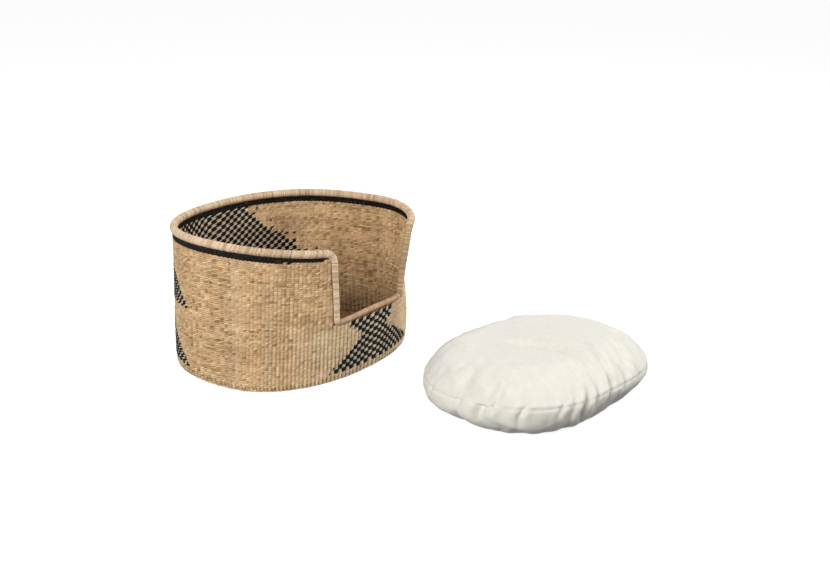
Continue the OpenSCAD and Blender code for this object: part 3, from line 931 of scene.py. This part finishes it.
def inflate(obj):
    """Blows the cover up like a stuffed pillow. The seam is held, and the cloth has some spare
    size, so it gathers a little along the seam."""
    start = coords(obj)
    edge = np.abs(start[:, 2] - seam_line(start)) < 0.0030
    group = obj.vertex_groups.new(name="seam")
    group.add([int(i) for i in np.nonzero(edge)[0]], 1.0, "REPLACE")
    cloth = obj.modifiers.new("cloth", "CLOTH")
    settings = cloth.settings
    settings.quality = 6
    settings.mass = 0.25
    settings.tension_stiffness = 14
    settings.compression_stiffness = 14
    settings.shear_stiffness = 5
    settings.bending_stiffness = 0.5
    settings.use_pressure = True
    settings.uniform_pressure_force = 2.4
    settings.shrink_min = -0.016
    settings.vertex_group_mass = "seam"
    settings.effector_weights.gravity = 0.0
    cloth.point_cache.frame_start = 1
    cloth.point_cache.frame_end = CLOTH_FRAMES
    scene = bpy.context.scene
    for number in range(1, CLOTH_FRAMES + 1):
        scene.frame_set(number)
    apply_all(obj)
    scene.frame_set(1)
    step = coords(obj) - start
    size = np.linalg.norm(step, axis=1, keepdims=True)
    step *= np.minimum(1.0, MOVE_LIMIT / np.maximum(size, 1e-9))
    set_coords(obj, start + step)
    obj.vertex_groups.clear()


def around_cushion(co):
    """Angle around the cushion, as seen from its middle, in degrees."""
    return np.degrees(np.arctan2(co[:, 1] / CUSHION_W, co[:, 0] / CUSHION_L)) % 360


def angle_from(angle, place):
    return (angle - place + 180) % 360 - 180


def seam_line(co):
    """Height of the seam: it wanders a few millimetres."""
    a = np.radians(around_cushion(co))
    return SEAM_H + SEAM_RISE + 0.0025 * np.sin(2 * a + 0.6) + 0.0012 * np.sin(5 * a + 2.0)


def smooth_step(v):
    v = np.clip(v, 0, 1)
    return v * v * (3 - 2 * v)


# Pinches in the cushion's side, placed after the photo: angle and width in degrees,
# depth, reach below and above the seam.
PINCHES = (
    (197.0, 2.8, 0.0110, -0.052, 0.001),
    (203.5, 1.2, 0.0045, -0.014, 0.026),
    (218.0, 1.3, 0.0055, -0.030, 0.012),
    (236.5, 1.2, 0.0045, -0.020, 0.018),
    (243.0, 1.5, 0.0045, -0.060, -0.020),
    (250.0, 1.7, 0.0090, -0.044, 0.026),
    (257.0, 1.3, 0.0055, -0.020, 0.036),
    (268.0, 1.5, 0.0065, -0.034, 0.030),
    (280.0, 1.4, 0.0055, -0.018, 0.038),
    (293.0, 1.5, 0.0040, -0.016, 0.040),
    (306.0, 1.5, 0.0035, -0.020, 0.034),
    (181.0, 2.0, 0.0045, -0.052, -0.012),
    (336.0, 1.6, 0.0045, -0.026, 0.030),
    (20.0, 1.6, 0.0040, -0.024, 0.012),
    (58.0, 1.5, 0.0035, -0.026, 0.010),
    (96.0, 1.4, 0.0035, -0.024, 0.010),
    (131.0, 1.6, 0.0035, -0.026, 0.010),
    (158.0, 1.5, 0.0025, -0.022, 0.012),
)

# Creases on the top, as shares of the half length and half width: from, to, bow, width, depth.
CREASES = (
    ((-0.26, 0.34), (-0.12, -0.96), 0.10, 0.042, 0.0068),
    ((0.14, -0.34), (-0.08, -1.10), 0.04, 0.036, 0.0050),
    ((0.58, 0.45), (0.60, -0.65), 0.06, 0.060, 0.0026),
    ((0.44, -0.42), (0.16, -1.04), 0.03, 0.042, 0.0034),
    ((0.02, -0.70), (-0.26, -1.10), 0.00, 0.035, 0.0032),
    ((-0.62, -0.10), (-0.80, 0.50), 0.04, 0.070, 0.0018),
    ((-0.30, 0.70), (0.45, 0.74), 0.06, 0.060, 0.0020),
)


def sew(co, normal):
    """Draws the seam in, with its pinches, and lays the soft creases across the top."""
    angle = around_cushion(co)
    above = co[:, 2] - seam_line(co)
    push = -0.0017 * np.exp(-(above / 0.0024) ** 2) \
        + 0.0006 * np.exp(-((above - 0.005) / 0.003) ** 2)
    for place, width, depth, low, high in PINCHES:
        across = angle_from(angle, place + 2.2 * np.sin(above * 60))
        span = np.where(above < 0, above / low, above / high)
        along = np.exp(-span ** 2 * 1.6)
        push -= depth * along * np.exp(-(across / width) ** 2)
        puff = np.exp(-((np.abs(across) - 2.4 * width) / (1.3 * width)) ** 2)
        push += 0.30 * depth * along * puff
    share = np.hypot(co[:, 0] / (CUSHION_L / 2), co[:, 1] / (CUSHION_W / 2))
    plan = co[:, :2] / (CUSHION_L / 2, CUSHION_W / 2)
    for start, end, bow, width, depth in CREASES:
        chord = np.subtract(end, start)
        length = np.hypot(*chord)
        run = (plan - start) @ chord / length ** 2
        aside = (plan - start) @ np.array([-chord[1], chord[0]]) / length
        ends = smooth_step((0.5 - np.abs(run - 0.5)) / 0.3)
        off = (aside - bow * (1 - (2 * run - 1) ** 2)) / width
        push -= depth * ends * smooth_step(above / 0.02) \
            * (np.exp(-off ** 2) - 0.7 * np.exp(-((off - 1.6) / 1.2) ** 2))
    ripple = np.exp(-((share - 0.86) / 0.10) ** 2) * smooth_step((above - 0.008) / 0.01)
    rays = np.sin(np.radians(angle * 23)) + 0.7 * np.sin(np.radians(angle * 37 + 40))
    gathered = 0.25 + 0.75 * smooth_step((45 - np.abs(angle_from(angle, 285.0))) / 40)
    push += 0.0008 * ripple * rays * gathered
    return co + normal * push[:, None]


def vertex_normals(obj):
    normal = np.zeros(len(obj.data.vertices) * 3)
    obj.data.vertices.foreach_get("normal", normal)
    return normal.reshape(-1, 3)


def settle(co):
    """The broad, uneven fullness of hand-stuffed filling, and the flat where it rests."""
    a = np.radians(around_cushion(co))
    share = np.hypot(co[:, 0] / (CUSHION_L / 2), co[:, 1] / (CUSHION_W / 2))
    out = 1 + 0.010 * np.sin(2 * a + 1.0) + 0.012 * np.sin(3 * a + 2.6) \
        + 0.008 * np.sin(5 * a + 0.4)
    co = co.copy()
    co[:, :2] *= out[:, None]
    high = smooth_step((co[:, 2] - SEAM_H) / 0.03)
    low = smooth_step((SEAM_H - co[:, 2]) / 0.03)
    hollow = -0.006 * np.exp(-((share - 0.55) / 0.3) ** 2) \
        * np.clip(np.cos(a - math.radians(150)), 0, 1)
    back = 0.010 * np.exp(-(angle_from(np.degrees(a), 128.0) / 40.0) ** 2) \
        + 0.005 * np.exp(-(angle_from(np.degrees(a), 55.0) / 35.0) ** 2)
    co[:, 2] += high * (hollow + back * np.exp(-((share - 0.80) / 0.30) ** 2))
    tucked = 0.75 * np.exp(-(angle_from(np.degrees(a), 285.0) / 26.0) ** 2)
    co[:, :2] *= (1 - 0.055 * low * tucked)[:, None]
    pressed = REST_H * np.exp((co[:, 2] - REST_H) / 0.006) * 0.6 + 0.0016
    co[:, 2] = np.where(co[:, 2] < REST_H, pressed, co[:, 2])
    return co


def build_cushion():
    cover = cushion_start()
    remesh = cover.modifiers.new("remesh", "REMESH")
    remesh.mode = "VOXEL"
    remesh.voxel_size = VOXEL
    apply_all(cover)
    inflate(cover)
    relax = cover.modifiers.new("relax", "SMOOTH")
    relax.factor = 0.5
    relax.iterations = SMOOTH_PASSES
    smooth = cover.modifiers.new("smooth", "SUBSURF")
    smooth.levels = 1
    smooth.render_levels = 1
    apply_all(cover)
    co = settle(sew(coords(cover), vertex_normals(cover)))
    c, s = math.cos(CUSHION_TURN), math.sin(CUSHION_TURN)
    x = co[:, 0] * c - co[:, 1] * s + CUSHION_MID.x
    y = co[:, 0] * s + co[:, 1] * c + CUSHION_MID.y
    set_coords(cover, np.stack([x, y, np.maximum(co[:, 2], 0.0)], -1))
    cover.data.polygons.foreach_set("use_smooth", np.ones(len(cover.data.polygons), bool))
    filling = cover.copy()
    filling.data = cover.data.copy()
    filling.name = "cushion_fibre"
    bpy.context.scene.collection.objects.link(filling)
    centre = np.array([CUSHION_MID.x, CUSHION_MID.y, GIRTH_H])
    set_coords(filling, centre + (coords(filling) - centre) * FIBRE_SHARE)
    return cover, filling


# ---------- building ----------

CAMERA_PLACE = (-1.8743, -1.5586, 0.8987)
CAMERA_PITCH = math.radians(17.47)
CAMERA_TURN = math.radians(56.07)


def camera_and_light():
    """A 50 mm lens that looks down 17.5 degrees from the front left, and soft studio light.

    The backdrop is white for the camera only. The grey gradient lights the object.
    """
    scene = bpy.context.scene
    data = bpy.data.cameras.new("camera")
    data.lens = 50.0
    data.sensor_width = 36.0
    camera = bpy.data.objects.new("camera", data)
    scene.collection.objects.link(camera)
    level = math.cos(CAMERA_PITCH)
    back = Vector((-math.sin(CAMERA_TURN) * level, -math.cos(CAMERA_TURN) * level,
                   math.sin(CAMERA_PITCH)))
    camera.location = CAMERA_PLACE
    camera.rotation_euler = back.to_track_quat("Z", "Y").to_euler()
    scene.camera = camera

    scene.view_settings.view_transform = "Standard"
    world = bpy.data.worlds.new("studio")
    world.use_nodes = True
    sky = world.node_tree
    background = sky.nodes["Background"]
    place = sky.nodes.new("ShaderNodeTexCoord")
    split = sky.nodes.new("ShaderNodeSeparateXYZ")
    sky.links.new(place.outputs["Generated"], split.inputs["Vector"])
    spread = sky.nodes.new("ShaderNodeMapRange")
    spread.inputs["From Min"].default_value = -1.0
    spread.inputs["From Max"].default_value = 1.0
    sky.links.new(split.outputs["Z"], spread.inputs["Value"])
    shades = ramp(sky.nodes, [(0.0, (0.10, 0.10, 0.10)), (0.48, (0.15, 0.15, 0.15)),
                              (0.51, (0.68, 0.68, 0.68)), (0.66, (0.56, 0.56, 0.56)),
                              (0.84, (0.22, 0.22, 0.22)), (1.0, (0.10, 0.10, 0.10))])
    sky.links.new(spread.outputs["Result"], shades.inputs["Fac"])
    seen = sky.nodes.new("ShaderNodeLightPath")
    backdrop = mix(sky.nodes, sky.links, "MIX", seen.outputs["Is Camera Ray"],
                   shades.outputs["Color"], (1.0, 1.0, 1.0))
    sky.links.new(backdrop, background.inputs["Color"])
    scene.world = world

    def soft_light(name, place, aim, size, power):
        light = bpy.data.lights.new(name, "AREA")
        light.shape = "DISK"
        light.size = size
        light.energy = power
        obj = bpy.data.objects.new(name, light)
        obj.location = place
        obj.rotation_euler = (Vector(place) - Vector(aim)).to_track_quat("Z", "Y").to_euler()
        scene.collection.objects.link(obj)

    soft_light("right", (2.3, -2.4, 2.5), (0, -0.2, 0), 2.0, 105)
    soft_light("left", (-3.2, -0.5, 1.7), (0, -0.2, 0.1), 2.0, 90)

    floor_mesh = bmesh.new()
    bmesh.ops.create_grid(floor_mesh, x_segments=8, y_segments=8, size=30.0)
    mesh = bpy.data.meshes.new("studio_floor")
    floor_mesh.to_mesh(mesh)
    floor_mesh.free()
    floor = bpy.data.objects.new("studio_floor", mesh)
    floor.location.z = -0.0004
    scene.collection.objects.link(floor)
    material, _, _, shader = nodes_of("pale_floor")
    shader.inputs["Base Color"].default_value = (0.6, 0.6, 0.6, 1.0)
    shader.inputs["Roughness"].default_value = 1.0
    shader.inputs["Specular IOR Level"].default_value = 0.0
    shader.inputs["Emission Color"].default_value = (1.0, 1.0, 1.0, 1.0)
    shader.inputs["Emission Strength"].default_value = 0.80
    mesh.materials.append(material)
    floor.visible_diffuse = False


camera_and_light()

for piece in build_wall():
    dress(piece, WALL_STRAW, "basket", "wall_straw",
          "outer_weave", "inner_weave", "outer_band", "inner_band")
dress(build_stakes(), REED, "basket", "stake_reed", "wall_stakes")
for piece in build_floor():
    dress(piece, WALL_STRAW, "basket", "wall_straw", "floor_under_weave", "floor_top_weave")
rim_piece, sill_piece, rim_rod, sill_rod = build_bindings()
dress(rim_piece, RIM_STRAW, "basket", "rim_straw", "rim_wrap")
dress(sill_piece, SILL_STRAW, "basket", "sill_straw", "sill_wrap")
dress(rim_rod, REED, "basket", "stake_reed", "rim_core")
dress(sill_rod, REED, "basket", "stake_reed", "sill_core")

cushion, filling = build_cushion()
dress(cushion, COTTON, "cushion", "cotton",
      "cushion_top_panel", "cushion_bottom_panel", "cushion_seam")
dress(filling, FIBRE, "cushion", "fibre_fill", "cushion_filling")

floor_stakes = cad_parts["floor_stakes"]
floor_stakes.data.materials.clear()
floor_stakes.data.materials.append(REED)
